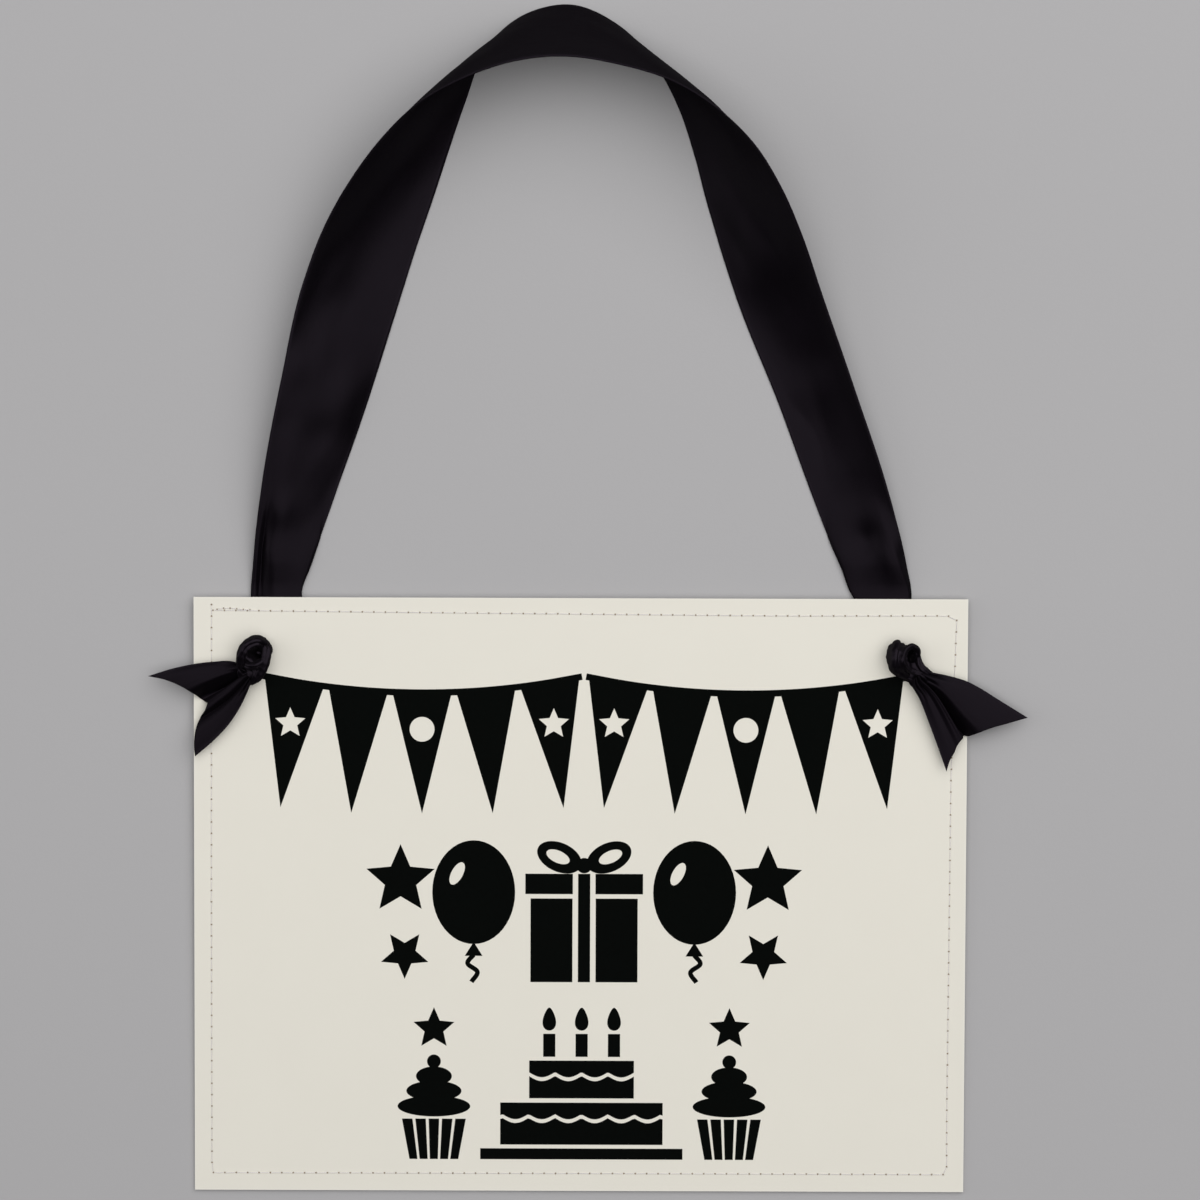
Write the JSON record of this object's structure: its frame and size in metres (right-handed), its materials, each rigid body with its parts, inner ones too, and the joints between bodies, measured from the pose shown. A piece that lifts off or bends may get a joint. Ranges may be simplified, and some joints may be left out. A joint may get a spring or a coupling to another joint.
{
  "type": "party sign",
  "caption": "Rectangular card sign, stitched round its border from two sheets, with a wide satin ribbon hanger knotted through two holes and ending in V-cut tails.",
  "frame": {"origin": "centre of the sign's flat back face", "axes": "+Z out of the printed face, +Y towards the sign's top edge and the hanger, +X to the reader's right"},
  "size_m": [0.3141, 0.4291, 0.0316],
  "materials": {
    "card_stock": "uncoated ivory card",
    "thread": "pale sewing thread",
    "satin_ribbon": "black satin"
  },
  "bodies": {
    "board": {"back_card": "card_stock", "front_card": "card_stock", "needle_thread": "thread", "bobbin_thread": "thread", "left_back_run": "satin_ribbon", "right_back_run": "satin_ribbon", "left_knot": "satin_ribbon", "right_knot": "satin_ribbon"},
    "hanger": {"hanger_loop": "satin_ribbon"},
    "left_ribbon_end": {"left_tail": "satin_ribbon"},
    "right_ribbon_end": {"right_tail": "satin_ribbon"}
  },
  "joints": [
    {"name": "hanger_fold", "type": "hinge", "parent": "board", "child": "hanger", "pos_m": [0, 0.11015, -0.0009], "axis": [1, 0, 0], "range_deg": [0, 120]},
    {"name": "left_tail_lift", "type": "hinge", "parent": "board", "child": "left_ribbon_end", "pos_m": [-0.12173, 0.07978, 0.00455], "axis": [-0.506, 0.8625, 0], "range_deg": [0, 60]},
    {"name": "right_tail_lift", "type": "hinge", "parent": "board", "child": "right_ribbon_end", "pos_m": [0.12317, 0.07838, 0.00455], "axis": [-0.7314, -0.682, 0], "range_deg": [0, 60]}
  ]
}
